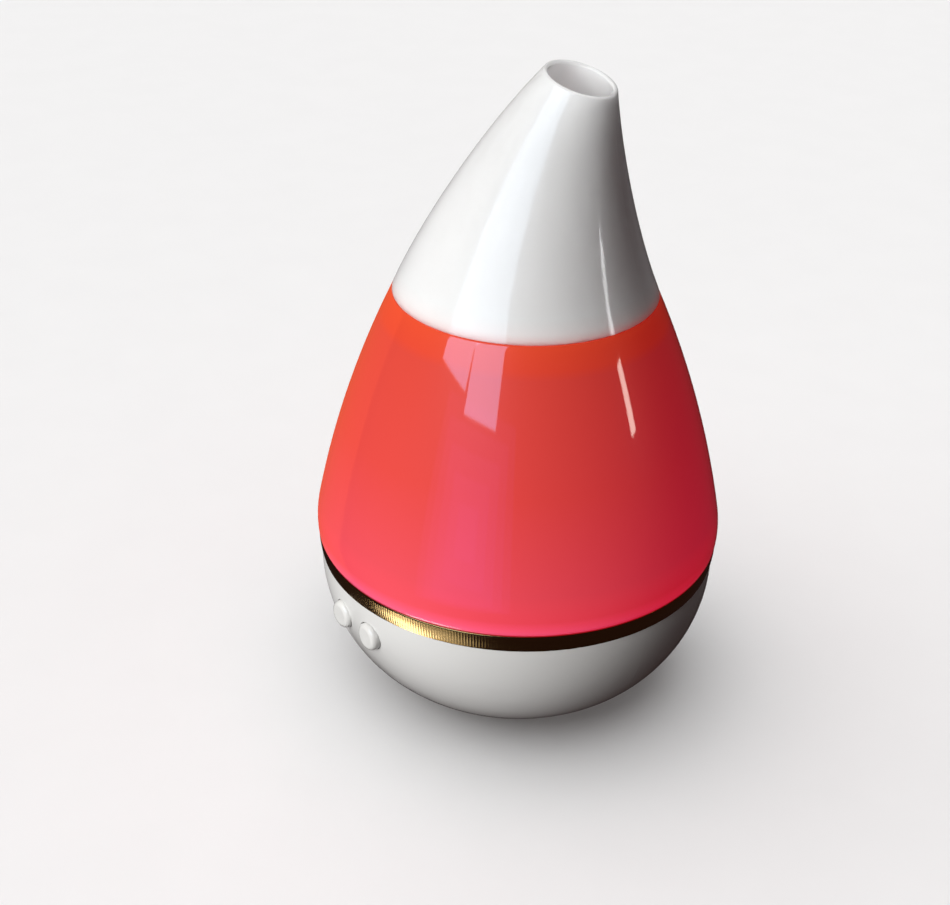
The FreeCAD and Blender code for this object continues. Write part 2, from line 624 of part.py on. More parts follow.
# ------------------------------------------------ fan
def fan_frame():
    """Square fan housing with its motor plate on three struts."""
    body = new_body("fan_frame")
    square = box_corners("-fan_side / 2", "fan_side / 2", "-fan_side / 2", "fan_side / 2")
    box_pad(body, "frame_block", square, "0", "fan_height")
    round_pocket(body, "frame_bore", [("0", "0", "fan_bore")], "fan_height", "fan_height")
    round_pad(body, "motor_plate", [("0", "0", "hub_radius - 0.4")], "0", "strut_thick")
    for angle in (90, 210, 330):
        strut = new_sketch(body, f"strut_{angle}", "XY_Plane")
        strut.AttachmentOffset = FreeCAD.Placement(V(0, 0, 0), FreeCAD.Rotation(V(0, 0, 1), angle))
        outline(strut, box_corners("hub_radius - 1", "fan_bore + 0.2",
                                   "-strut_width / 2", "strut_width / 2"))
        pad(body, f"strut_pad_{angle}", strut, "strut_thick")
    holes = [(f"{sx} * fan_hole_offset", f"{sy} * fan_hole_offset", "small_clear") for sx, sy in QUADRANTS]
    holed = round_pocket(body, "frame_holes", holes, "fan_height", "fan_height")
    uprights = [f"Edge{i + 1}" for i, e in enumerate(holed.Shape.Edges)
                if min(abs(e.BoundBox.XMin), abs(e.BoundBox.YMin)) > SIZES["fan_side"] / 2 - 0.01
                and e.BoundBox.ZLength > SIZES["fan_height"] / 2]
    rounded = body.newObject("PartDesign::Fillet", "frame_corners")
    rounded.Base = (holed, uprights)
    bind(rounded, Radius="fan_corner")
    place(body, x="fan_x", z="fan_bottom")


def fan_motor():
    """Bush and stator on the frame, and the turning shaft and magnet."""
    motor_plate = "fan_bottom + strut_thick"
    inner_wall = "hub_radius - hub_wall"
    bush = tube("bush", "bush_radius", "shaft_radius + running_gap", "bush_length", "fan_x", z=motor_plate)
    node(bush, "fan_bush")
    stator = tube("stator", "stator_radius", "bush_radius", "stator_height", "fan_x", z="hub_bottom")
    node(stator, "fan_stator")
    shaft = cylinder("shaft", "shaft_radius", "hub_top - hub_bottom + 0.3", "fan_x", z="hub_bottom - 0.3")
    node(shaft, "fan_shaft")
    magnet = tube("magnet", inner_wall, f"{inner_wall} - magnet_thick", "stator_height", "fan_x",
                  z="hub_bottom + 0.2")
    node(magnet, "fan_magnet")


BLADES = 7


def fan_rotor():
    """Hub cup with pitched blades, trimmed to the circle that they sweep."""
    inner_wall = "hub_radius - hub_wall"
    height = "hub_top - hub_bottom"
    hub = cut("hub_cup", cylinder("hub_outside", "hub_radius", height, "fan_x", z="hub_bottom"),
              cylinder("hub_inside", inner_wall, f"{height} - hub_wall", "fan_x", z="hub_bottom"))
    blades = []
    for number in range(BLADES):
        blade = box(f"blade_{number}", "blade_reach - hub_radius + 1", "blade_chord", "blade_thick")
        spin = FreeCAD.Rotation(V(0, 0, 1), number * 360 / BLADES)
        turn = spin.multiply(FreeCAD.Rotation(V(1, 0, 0), SIZES["blade_pitch"]))
        corner = turn.multVec(V(SIZES["hub_radius"] - 0.5, -SIZES["blade_chord"] / 2,
                                -SIZES["blade_thick"] / 2))
        blade.Placement.Rotation = turn
        place(blade, f"fan_x + ({corner.x})", f"{corner.y}",
              f"(hub_bottom + hub_top) / 2 + ({corner.z})")
        blades.append(blade)
    trimmed = doc.addObject("Part::Common", "trimmed_wheel")
    trimmed.Base = fuse("wheel", hub, *blades)
    trimmed.Tool = cut("sweep", cylinder("sweep_outside", "blade_reach", "2 * hub_top", "fan_x"),
                       cylinder("sweep_inside", inner_wall, "hub_top - hub_wall", "fan_x"))
    shaft_hole = cylinder("shaft_hole", "shaft_radius", "2 * hub_top", "fan_x")
    node(cut("rotor", trimmed, shaft_hole), "fan_rotor")


def fan_duct():
    """Plenum on top of the fan that turns its air into the riser under the chimney."""
    body = new_body("fan_duct")
    top = f"{DUCT_BASE} + duct_flange"
    square = box_corners("fan_x - fan_side / 2", "fan_x + fan_side / 2",
                         "-fan_side / 2", "fan_side / 2")
    box_pad(body, "duct_plate", square, DUCT_BASE, "duct_flange")
    round_pad(body, "plenum", [("fan_x", "0", "plenum_radius")], top, "duct_height")
    round_pad(body, "riser_end", sized(CHIMNEY, "riser_end_radius"), top, "duct_height")
    round_pad(body, "riser", sized(CHIMNEY, "riser_radius"), top, f"riser_top - ({top})")
    round_pocket(body, "plenum_hollow", [("fan_x", "0", "plenum_radius - duct_wall")], DUCT_BASE,
                 "duct_flange + duct_height - duct_wall", up=True)
    round_pocket(body, "riser_end_hollow", sized(CHIMNEY, "riser_end_radius - duct_wall"), f"{top} + 0.8",
                 "duct_height - duct_wall - 0.8", up=True)
    round_pocket(body, "riser_bore", sized(CHIMNEY, "riser_bore"), "riser_top",
                 f"riser_top - ({top}) - duct_height + duct_wall + 0.5")
    round_pocket(body, "duct_holes", sized(FAN_SCREWS, "small_clear"), DUCT_BASE, "duct_flange + 1",
                 up=True)
    small_screws("fan_screws", FAN_SCREWS, "fan_screw_length", top, UPSIDE_DOWN)


# ------------------------------------------------ driver board
FINS = 6
HEADERS = 5


def driver_board():
    """Main board with its heat sink, transistor, inductors, capacitors, controller and wire headers."""
    body = new_body("driver_board")
    plate = box_corners("board_x", "board_x + board_length", "-board_width / 2", "board_width / 2")
    box_pad(body, "board_plate", plate, "board_bottom", "board_thick")
    round_pocket(body, "board_holes", sized(BOARD_SCREWS, "small_clear"), "board_bottom",
                 "board_thick + 1", up=True)
    small_screws("board_screws", BOARD_SCREWS, "board_screw_length", BOARD_TOP, UPSIDE_DOWN)
    fin_step = f"(sink_width - fin_thick) / {FINS - 1}"
    fins = [box(f"sink_fin_{i}", "fin_length", "fin_thick", "sink_height", "sink_x - fin_length",
                f"-sink_width / 2 + {i} * {fin_step}", BOARD_TOP) for i in range(FINS)]
    web = box("sink_web", "sink_thick", "sink_width", "sink_height", "sink_x", "-sink_width / 2", BOARD_TOP)
    node(fuse("sink", web, *fins), "heat_sink")
    tab_x = "sink_x + sink_thick"
    tab = box("transistor_tab", "tab_thick", "transistor_width", "sink_height", tab_x,
              "-transistor_width / 2", BOARD_TOP)
    case = box("transistor_case", "case_thick", "transistor_width", "0.8 * sink_height",
               f"{tab_x} + tab_thick", "-transistor_width / 2", BOARD_TOP)
    node(fuse("transistor", tab, case), "power_transistor")
    coils = []
    for number, side in enumerate(SIDES):
        coil = doc.addObject("Part::Torus", f"coil_{number}")
        bind(coil, Radius1="coil_radius", Radius2="coil_thick / 2")
        coils.append(place(coil, "coil_x", f"{side} * coil_y", f"{BOARD_TOP} + coil_thick / 2 + 0.05"))
    group("inductors", coils)
    cans = [cylinder(f"can_{i}", "can_radius", "can_height", "can_x", f"{side} * can_y", BOARD_TOP)
            for i, side in enumerate(SIDES)]
    group("capacitors", cans)
    chip = box("chip", "chip_length", "chip_width", "chip_height", "can_x - 0.6", "-chip_width / 2",
               BOARD_TOP)
    node(chip, "controller_chip")
    headers = [box(f"header_{i}", "header_length", "header_width", "header_height", "header_x",
                   f"header_y + {i} * header_step - header_width / 2", BOARD_TOP) for i in range(HEADERS)]
    group("wire_headers", headers)


# ------------------------------------------------ buttons
def button(use, side):
    """Domed button cap that slides in through the bowl's front wall, and the switch plunger it pushes."""
    body = new_body(f"{use}_button")
    revolved(body, f"{use}_cap", [
        ("0", "-button_tail_length"),
        ("button_tail", "-button_tail_length"),
        ("button_tail", "0"),
        ("button_flange", "0"),
        ("button_flange", "button_flange_thick"),
        ("button_radius", "button_flange_thick"),
        ("button_radius", "button_length - button_edge", "button_edge", -1),
        ("button_radius - button_edge", "button_length"),
        ("0", "button_length"),
    ])
    body.Placement.Rotation = TO_FRONT
    place(body, f"{side} * button_x", "-button_flange_y", "button_height")
    plunger = cylinder(f"{use}_plunger", "plunger_radius", "plunger_length", f"{side} * button_x",
                       "-(button_flange_y - button_tail_length)", "button_height", TO_BACK)
    node(plunger, f"{use}_switch_plunger")


def button_board():
    """Upright board behind the buttons with its two push switches."""
    body = new_body("button_board")
    inner_face = "button_board_y - button_board_thick"
    plate = box_corners("-button_board_half", "button_board_half", "button_board_low",
                        "button_board_high")
    box_pad(body, "board_plate", plate, inner_face, "button_board_thick", "XZ_Plane")
    round_pocket(body, "board_holes", sized(BUTTON_POSTS, "small_clear"), "button_board_y",
                 "button_board_thick + 1", "XZ_Plane")
    switches = []
    for number, side in enumerate(SIDES):
        case = box(f"switch_case_{number}", "switch_side", "switch_depth", "switch_side",
                   f"{side} * button_x - switch_side / 2", "-switch_face_y",
                   "button_height - switch_side / 2")
        well = cylinder(f"switch_well_{number}", "plunger_radius + 0.15", "switch_well_depth",
                        f"{side} * button_x", "-switch_face_y", "button_height", TO_BACK)
        switches.append(cut(f"switch_{number}", case, well))
    group("tact_switches", switches)
    screws = [screw(f"button_board_screw_{i}", "small", "switch_screw_length", x, f"-({inner_face})", z,
                    TO_FRONT) for i, (x, z) in enumerate(BUTTON_POSTS)]
    group("button_board_screws", screws)


# ------------------------------------------------ power socket
def dc_jack():
    """Barrel socket with a round nose through the bowl's back wall, and its centre pin."""
    case = box("jack_case", "2 * jack_half", "jack_front - jack_back", "2 * jack_rise", "-jack_half",
               "jack_back", "jack_height - jack_rise")
    nose = cylinder("jack_nose", "jack_nose_radius", "jack_nose_end - jack_front", "0", "jack_front",
                    "jack_height", TO_BACK)
    bore = cylinder("jack_hollow", "jack_bore", "jack_nose_end - jack_bore_end + 1", "0", "jack_bore_end",
                    "jack_height", TO_BACK)
    node(cut("jack_shell", fuse("jack_blank", case, nose), bore), "dc_jack")
    pin = cylinder("jack_contact", "jack_pin", "jack_pin_end - jack_bore_end", "0", "jack_bore_end",
                   "jack_height", TO_BACK)
    node(pin, "jack_pin")


# ------------------------------------------------ cover
def diffuser_shell():
    """Translucent middle shell: a belly arc that runs on smoothly into the long side arc."""
    foot = "ring_top + seat_gap"
    revolved(new_body("diffuser_shell"), "diffuser_wall", [
        ("ring_top_radius", foot, "belly_arc", -1),
        (None, "belly_height", "side_arc", -1),
        ("seam_radius", "seam_height"),
        ("land_radius", "seam_height"),
        ("land_radius", "seam_height - land_depth"),
        ("land_radius + 2.2", "seam_height - land_depth - 1.5", "side_arc", 1),
        (None, "belly_height", "belly_arc - shell_wall", 1),
        ("ring_top_radius - shell_wall", foot),
    ])


def bezier(first, second, third, last, share):
    """Expression of a cubic curve's value at a share of its length, from its four control values."""
    rest = 1 - share
    weights = (rest**3, 3 * rest**2 * share, 3 * rest * share**2, share**3)
    return " + ".join(f"{w:.6f} * ({c})" for w, c in zip(weights, (first, second, third, last)))


STATIONS = (0.0, 0.14, 0.3, 0.46, 0.62, 0.78, 0.9, 1.0)


def cap_loft(name, inset_low, inset_high, extra=0.0):
    """Loft through tilted circles along the nozzle's bent centre line, inset by a wall that thins."""
    sections = []
    for number, share in enumerate(STATIONS):
        ring = doc.addObject("Part::Circle", f"{name}_section_{number}")
        tilt = SIZES["mouth_tilt"] * share**1.84
        ring.Placement.Rotation = FreeCAD.Rotation(V(0, 1, 0), tilt)
        end = extra if share == 1.0 else (-extra if share == 0.0 else 0.0)
        shift = bezier("0", "0", "cap_shift_high", "cap_shift", share)
        rise = bezier("0", "cap_rise_low", "cap_rise_high", "cap_rise", share)
        radius = bezier("seam_radius", "cap_radius_low", "cap_radius_high", "mouth_radius", share)
        bind(ring, Radius=f"{radius} - ({1 - share} * ({inset_low}) + {share} * ({inset_high}))")
        place(ring, f"{shift} + {end * math.sin(math.radians(tilt))}", "0",
              f"seam_height + seat_gap + {rise} + {end * math.cos(math.radians(tilt))}")
        sections.append(ring)
    loft = doc.addObject("Part::Loft", name)
    loft.Sections = sections
    loft.Solid = True
    loft.Ruled = False
    return loft


def nozzle_cap():
    """Leaning white nozzle with a rounded mouth, and the plug-in skirt that it turns on."""
    hollow = cut("cap_shell", cap_loft("cap_outside", "0", "0"),
                 cap_loft("cap_inside", "cap_wall", "mouth_wall", extra=0.5))
    skirt_radius = "land_radius - skirt_gap"
    top = "seam_height + seat_gap + skirt_root"
    low = "seam_height - land_depth - 1.2"
    bead_low = f"{low} + bead_slope"
    bead_high = f"{bead_low} + bead_flat"
    skirt = doc.addObject("PartDesign::Body", "skirt_body")
    revolved(skirt, "skirt", [
        (f"{skirt_radius} - skirt_wall", low),
        (skirt_radius, low),
        (f"{skirt_radius} + skirt_bead", bead_low),
        (f"{skirt_radius} + skirt_bead", bead_high),
        (skirt_radius, f"{bead_high} + bead_slope"),
        (skirt_radius, top),
        (f"{skirt_radius} - skirt_wall", f"{top} + 0.6"),
    ])
    whole = fuse("cap_whole", hollow, skirt)
    doc.recompute()
    mouth_height = value("seam_height + cap_rise - 4")
    lips = [(i + 1, SIZES["mouth_round"], SIZES["mouth_round"])
            for i, e in enumerate(whole.Shape.Edges)
            if e.BoundBox.ZMin > mouth_height and e.isClosed()]
    rounded = doc.addObject("Part::Fillet", "cap_rounded")
    rounded.Base = whole
    rounded.Edges = lips
    bind(rounded, Placement__Rotation__Angle="lean_azimuth")
    rounded.Placement = FreeCAD.Placement(V(0, 0, 0), FreeCAD.Rotation(V(0, 0, 1), SIZES["lean_azimuth"]))
    return node(rounded, "nozzle_cap")


# ------------------------------------------------ leads inside the base
def lead(label, radius, points):
    """A lead as one round tube: straight runs joined by the largest tangent arcs that fit."""
    places = [V(*point) for point in points]
    last = places[0]
    edges = []
    for before, here, after in zip(places, places[1:], places[2:]):
        back, on = before - here, after - here
        half_turn = (math.pi - back.getAngle(on)) / 2
        reach = 0.45 * min(back.Length, on.Length)
        bend = reach / math.tan(half_turn)
        start = here + back.normalize() * reach
        end = here + on.normalize() * reach
        inward = ((start + end) / 2 - here).normalize()
        middle = here + inward * (bend / math.cos(half_turn) - bend)
        edges += [Part.LineSegment(last, start).toShape(), Part.Arc(start, middle, end).toShape()]
        last = end
        print(f"{label} bends at a radius of {bend:.1f} mm")
    edges.append(Part.LineSegment(last, places[-1]).toShape())
    section = Part.Wire(Part.makeCircle(value(radius), places[0], places[1] - places[0]))
    thing = doc.addObject("Part::Feature", label + "_tube")
    thing.Shape = Part.Wire(edges).makePipeShell([section], True, False)
    return node(thing, label)


def leads():
    """Leads from the driver board's headers to the socket, switch board, fan, lights and transducer."""
    x = value("header_x + header_length / 2")
    right = value("header_x + header_length")
    button_y, led_y, disc_y, fan_y, jack_y = (
        value(f"header_y + {i} * header_step") for i in range(HEADERS))
    side_exit = value("header_width / 2")
    low = value(f"{BOARD_TOP} + 0.6 * header_height")
    top = value(f"{BOARD_TOP} + header_height")
    frame_side = value("fan_x - fan_side / 2")
    jack_back = value("jack_back")
    board_back = -value("button_board_y - button_board_thick")
    led_under = value("led_board_bottom")
    disc_under = value(f"{SEAL_BOTTOM} + disc_lift - electrode_thick")
    lead("jack_lead", "lead_radius",
         [(x, jack_y + side_exit, low), (x, jack_y + 8.5, low), (-2, 26.5, 22), (-2, jack_back, 22)])
    lead("button_lead", "lead_radius",
         [(x, button_y - side_exit, low), (x, button_y - 8.5, low), (0, -29.5, 25), (0, board_back, 25)])
    lead("fan_lead", "thin_lead_radius",
         [(right, fan_y, low), (frame_side, fan_y, low)])
    lead("led_lead", "thin_lead_radius",
         [(x, led_y, top), (x, led_y, top + 3), (9.2, -18, 16.2), (9.2, -18, led_under)])
    lead("transducer_lead", "thin_lead_radius",
         [(x, disc_y, top), (x, disc_y, top + 3), (2.4, -0.2, 18.6), (2.4, -0.2, disc_under)])


# ------------------------------------------------ build and write
def check_document():
    """Stops if any object failed, or a piece's shape is null or not valid."""
    failed = [o.Name for o in doc.Objects if "Invalid" in o.State or "Error" in o.State]
    for piece in NODES:
        if piece.Shape.isNull() or not piece.Shape.isValid() or not piece.Shape.Solids:
            failed.append(piece.Label)
    if failed:
        raise RuntimeError(f"these objects failed: {sorted(set(failed))}")


def write_parts():
    os.makedirs("parts", exist_ok=True)
    for piece in NODES:
        piece.Shape.exportStep(f"parts/{piece.Label}.step")
        print(f"{piece.Label:24s} {len(piece.Shape.Solids)} solids {piece.Shape.Volume:10.1f} mm3")


def main():
    base_bowl()
    foot_pads()
    base_screws()
    trim_ring()
    tank_gasket()
    mist_basin()
    tank_cup()
    air_chimney()
    chimney_hood()
    transducer()
    light_ring()
    fan_frame()
    fan_motor()
    fan_rotor()
    fan_duct()
    driver_board()
    button("mist", -1)
    button("light", 1)
    button_board()
    dc_jack()
    diffuser_shell()
    nozzle_cap()
    leads()
    doc.recompute()
    check_document()
    write_parts()


main()
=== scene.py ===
import json
import math

import bmesh
import bpy
from mathutils import Matrix, Vector


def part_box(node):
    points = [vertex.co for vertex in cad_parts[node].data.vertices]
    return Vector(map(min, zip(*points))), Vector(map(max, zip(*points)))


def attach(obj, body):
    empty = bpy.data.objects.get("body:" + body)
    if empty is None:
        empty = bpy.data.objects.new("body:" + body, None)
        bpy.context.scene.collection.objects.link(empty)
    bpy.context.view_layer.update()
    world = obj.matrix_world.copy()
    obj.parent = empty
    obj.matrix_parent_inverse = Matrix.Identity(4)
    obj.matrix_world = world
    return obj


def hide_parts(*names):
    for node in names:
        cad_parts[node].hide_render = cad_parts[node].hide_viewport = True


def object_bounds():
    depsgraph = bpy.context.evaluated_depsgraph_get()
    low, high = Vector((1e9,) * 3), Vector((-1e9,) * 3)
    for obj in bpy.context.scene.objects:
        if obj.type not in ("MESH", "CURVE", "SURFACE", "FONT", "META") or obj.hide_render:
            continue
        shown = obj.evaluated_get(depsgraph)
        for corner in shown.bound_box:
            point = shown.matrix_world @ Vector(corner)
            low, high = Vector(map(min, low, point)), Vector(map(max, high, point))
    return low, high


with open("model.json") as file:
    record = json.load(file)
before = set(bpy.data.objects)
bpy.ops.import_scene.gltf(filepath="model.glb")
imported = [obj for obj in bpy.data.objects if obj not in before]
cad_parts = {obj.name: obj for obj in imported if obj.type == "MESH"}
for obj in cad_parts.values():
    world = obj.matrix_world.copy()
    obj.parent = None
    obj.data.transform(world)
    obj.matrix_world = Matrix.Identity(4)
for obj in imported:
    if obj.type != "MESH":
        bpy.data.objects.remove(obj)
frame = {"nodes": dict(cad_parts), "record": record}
CAD_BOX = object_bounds()

MM = 0.001
TURN = 2 * math.pi

# ---------------------------------------------------------------- places that the frame gives
RING_LOW, RING_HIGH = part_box("trim_ring")
BOWL_TOP_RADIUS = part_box("base_bowl")[1].x
SHELL_LOW, SHELL_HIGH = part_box("diffuser_shell")
CAP_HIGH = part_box("nozzle_cap")[1]
MIDDLE = (CAD_BOX[0] + CAD_BOX[1]) / 2

# ---------------------------------------------------------------- camera and light, seen from the object
# Lengths are in metres and angles in radians. The lens is in millimetres, on a sensor 36 mm wide.
CAMERA_AZIMUTH = math.radians(51)
CAMERA_OUT = 363.7 * MM
CAMERA_HEIGHT = 270.2 * MM
CAMERA_PITCH = 0.517
CAMERA_YAW = -0.032
CAMERA_ROLL = 0.021
CAMERA_LENS = 60.63
SENSOR_WIDTH = 36
WINDOW_AWAY = 1.1       # from the object's middle to the window's lamps
LAYER = 0.02            # between lamps one behind another, because lamps in one plane hide each other
SILLS = 5               # panels below the window, each larger than the last, whose light fades outward
SKY_AWAY = 2            # only places the floor's lamps, because a sun's distance changes nothing
SKY_ANGLE = math.radians(100)


def make_camera():
    """A camera at the viewing angle: it stands at CAMERA_AZIMUTH round the object and looks down at it."""
    data = bpy.data.cameras.new("camera")
    data.lens = CAMERA_LENS
    data.sensor_width = SENSOR_WIDTH
    data.clip_start = 0.01
    camera = bpy.data.objects.new("camera", data)
    bpy.context.scene.collection.objects.link(camera)
    bpy.context.scene.camera = camera
    flat = math.cos(CAMERA_PITCH)
    ahead = Vector((math.sin(CAMERA_YAW) * flat, math.cos(CAMERA_YAW) * flat, -math.sin(CAMERA_PITCH)))
    across = Vector((math.cos(CAMERA_YAW), -math.sin(CAMERA_YAW), 0))
    upward = across.cross(ahead)
    right = across * math.cos(CAMERA_ROLL) + upward * math.sin(CAMERA_ROLL)
    top = upward * math.cos(CAMERA_ROLL) - across * math.sin(CAMERA_ROLL)
    axes = Matrix((right, top, -ahead)).transposed()
    round_object = Matrix.Rotation(CAMERA_AZIMUTH, 3, "Z")
    place = round_object @ Vector((0, -CAMERA_OUT, CAMERA_HEIGHT))
    camera.matrix_world = Matrix.Translation(place) @ (round_object @ axes).to_4x4()


def from_object(side, rise):
    """The direction from the object, side degrees to the right of the camera and rise degrees up."""
    around, up = CAMERA_AZIMUTH + math.radians(side), math.radians(rise)
    return Vector((math.sin(around) * math.cos(up), -math.cos(around) * math.cos(up), math.sin(up)))


def light_group(name, things):
    """A collection of the things that some lamps act on."""
    group = bpy.data.collections.new(name)
    for thing in things:
        group.objects.link(thing)
    return group


def add_lamp(name, kind, energy, tint, out, away, group):
    """A lamp away from the object's middle in the direction out, aimed at it, that acts on a group."""
    data = bpy.data.lights.new(name, kind)
    data.energy = energy
    data.color = tint
    lamp = bpy.data.objects.new(name, data)
    bpy.context.scene.collection.objects.link(lamp)
    lamp.location = MIDDLE + out * away
    lamp.rotation_euler = out.to_track_quat("Z", "Y").to_euler()
    lamp.visible_camera = False
    lamp.light_linking.receiver_collection = group
    return lamp


def softbox(name, side, rise, away, size, radiance, seen_in, group, tint=(1, 1, 1)):
    """A rectangular lamp. seen_in is "shade" for plain shading or "gloss" for reflections."""
    energy = radiance * math.pi * size[0] * size[1]
    lamp = add_lamp(name, "AREA", energy, tint, from_object(side, rise), away, group)
    lamp.data.shape = "RECTANGLE"
    lamp.data.size, lamp.data.size_y = size
    lamp.visible_diffuse = seen_in == "shade"
    lamp.visible_glossy = seen_in == "gloss"


def make_window(name, away, radiance, group, tint):
    """Two panels side by side that gloss mirrors as a window."""
    softbox(name + "_left", -51.5, 28, away, (0.44, 0.5), radiance, "gloss", group, tint)
    softbox(name + "_right", -27, 27, away, (0.44, 0.58), radiance, "gloss", group, tint)


def make_lights(shell, band, whites, floor):
    """Soft light from the left, weak fills all round, and the window and bright edges that gloss shows."""
    whole = light_group("lit_object", [shell, band, *frame["nodes"].values()])
    softbox("key", -39, 27, 1.2, (0.7, 0.7), 10.4, "shade", whole, (0.985, 1.0, 0.995))
    softbox("sky_fill", -150, 60, 1.5, (1.6, 1.4), 2.2, "shade", whole, (1.0, 0.98, 0.96))
    softbox("far_fill", 150, 20, 1.4, (1.2, 1.0), 1.35, "shade", whole, (0.9, 0.95, 1.0))
    softbox("back_fill", 178, 25, 1.4, (1.0, 1.0), 3.0, "shade", whole)
    softbox("table_bounce", -68, -36, 1.0, (0.8, 0.6), 2.1, "shade", whole)
    softbox("far_bounce", 140, -40, 1.0, (0.8, 0.6), 0.8, "shade", whole)
    make_window("window", WINDOW_AWAY, 2.7, whole, (0.68, 0.83, 1.0))

    glow = light_group("lit_shell", [shell])
    make_window("window_glow", WINDOW_AWAY + LAYER, 3.2, glow, (0.05, 0.5, 1.0))
    for step in range(1, SILLS + 1):
        away, size = WINDOW_AWAY + LAYER * step, (0.22 * step, 0.16 * step)
        softbox(f"sill_{step}", -27, -4, away, size, 0.34, "gloss", glow, (0.5, 0.2, 1.0))
    softbox("red_edge", -145, -18, 1.2, (1.5, 1.2), 0.7, "gloss", glow, (1.0, 0.15, 0.04))
    softbox("door_gap", 75.5, 7, 1.0, (0.07, 0.17), 9.5, "gloss", glow, (1.0, 0.97, 0.85))
    softbox("lip_glint", -70, -64, 1.0, (0.4, 0.12), 14.0, "gloss", glow)

    pale = light_group("lit_whites", whites)
    softbox("pale_edge", -145, -18, 1.2, (1.5, 1.2), 0.35, "gloss", pale)
    softbox("door_slit", 75.5, 8.3, 1.0, (0.07, 0.12), 7.0, "gloss", pale)

    trim = light_group("lit_band", [band])
    softbox("low_edge", -74, -51, 1.0, (0.22, 0.3), 5.0, "gloss", trim)
    softbox("low_edge_faint", -50, -51, 1.0, (0.42, 0.3), 0.9, "gloss", trim)

    ground = light_group("lit_floor", [floor])
    for name, side, rise, energy in (("floor_light", -100, 66, 2.4), ("floor_fill", 60, 80, 1.23)):
        sky = add_lamp(name, "SUN", energy, (1, 1, 1), from_object(side, rise), SKY_AWAY, ground)
        sky.data.angle = SKY_ANGLE


def make_surroundings():
    """Pale behind the object, and dim for everything that the object reflects."""
    world = bpy.data.worlds.new("studio")
    world.use_nodes = True
    tree = world.node_tree
    dim = tree.nodes["Background"]
    dim.inputs["Color"].default_value = (1.0, 0.5, 0.48, 1)
    dim.inputs["Strength"].default_value = 0.022
    backdrop = tree.nodes.new("ShaderNodeBackground")
    backdrop.inputs["Color"].default_value = (0.896, 0.894, 0.896, 1)
    either = tree.nodes.new("ShaderNodeMixShader")
    seen = tree.nodes.new("ShaderNodeLightPath")
    tree.links.new(seen.outputs["Is Camera Ray"], either.inputs["Fac"])
    tree.links.new(dim.outputs["Background"], either.inputs[1])
    tree.links.new(backdrop.outputs["Background"], either.inputs[2])
    tree.links.new(either.outputs["Shader"], tree.nodes["World Output"].inputs["Surface"])
    bpy.context.scene.world = world
    bpy.context.scene.view_settings.view_transform = "Standard"


# ---------------------------------------------------------------- materials
# Values of the shader that several finishes share.
PLAIN = {}
METAL = {"Metallic": 1.0}
WHITE_GLOSS = {"IOR": 1.5, "Coat_Weight": 1.0, "Coat_Roughness": 0.05}


def start_material(name, color, rough, **plain):
    """A Principled material with plain values. Returns the material, its node tree and the shader."""
    made = bpy.data.materials.new(name)
    made.use_nodes = True
    shader = made.node_tree.nodes["Principled BSDF"]
    shader.inputs["Base Color"].default_value = (*color, 1)
    shader.inputs["Roughness"].default_value = rough
    for socket, number in plain.items():
        shader.inputs[socket.replace("_", " ")].default_value = number
    return made, made.node_tree, shader


def add_node(tree, kind, **settings):
    """A node of a kind. A setting sets the node's own property, or else its input of that name."""
    made = tree.nodes.new("ShaderNode" + kind)
    for name, setting in settings.items():
        if hasattr(made, name):
            setattr(made, name, setting)
        else:
            made.inputs[name.replace("_", " ")].default_value = setting
    return made


def object_space(tree, stretch=(1, 1, 1)):
    """Object coordinates in metres, stretched along the axes."""
    place = add_node(tree, "TexCoord")
    mapping = add_node(tree, "Mapping", Scale=stretch)
    tree.links.new(place.outputs["Object"], mapping.inputs["Vector"])
    return mapping.outputs["Vector"]


def noise(tree, size, stretch=(1, 1, 1), detail=3.0):
    """Noise from 0 to 1 whose features are about size metres across."""
    texture = add_node(tree, "TexNoise", Scale=1 / size, Detail=detail)
    tree.links.new(object_space(tree, stretch), texture.inputs["Vector"])
    return texture.outputs["Fac"]


def scaled(tree, source, low, high, start=0.3, end=0.7):
    """The source's values from start to end, spread over low to high."""
    spread = add_node(tree, "MapRange", From_Min=start, From_Max=end, To_Min=low, To_Max=high)
    tree.links.new(source, spread.inputs["Value"])
    return spread.outputs["Result"]


def ramp(tree, source, stops):
    """A colour ramp of (position, colour) stops."""
    made = add_node(tree, "ValToRGB")
    band = made.color_ramp.elements
    while len(band) < len(stops):
        band.new(0.5)
    for element, (position, color) in zip(band, stops):
        element.position = position
        element.color = (*color, 1)
    tree.links.new(source, made.inputs["Fac"])
    return made.outputs["Color"]


def raise_surface(tree, shader, source, depth):
    """Bump of a depth in metres from the source."""
    bump = add_node(tree, "Bump", Strength=1.0, Distance=depth)
    tree.links.new(source, bump.inputs["Height"])
    tree.links.new(bump.outputs["Normal"], shader.inputs["Normal"])


def add_grain(tree, shader, rough, grain, depth):
    """Varies the roughness over the range rough, and the surface by depth, with noise of a size grain."""
    tree.links.new(scaled(tree, noise(tree, grain * 3), *rough), shader.inputs["Roughness"])
    raise_surface(tree, shader, noise(tree, grain), depth)


def mottled(name, dark, light, rough, grain, depth, values):
    """A finish whose colour, roughness and surface all vary with fine noise."""
    made, tree, shader = start_material(name, light, rough[0], **values)
    color = ramp(tree, noise(tree, grain * 6), [(0.3, dark), (0.7, light)])
    tree.links.new(color, shader.inputs["Base Color"])
    add_grain(tree, shader, rough, grain, depth)
    return made


def height_share(tree, low, high):
    """How far up between two heights a point of the piece is, from 0 to 1."""
    parts = add_node(tree, "SeparateXYZ")
    tree.links.new(object_space(tree), parts.inputs["Vector"])
    return scaled(tree, parts.outputs["Z"], 0, 1, low, high)


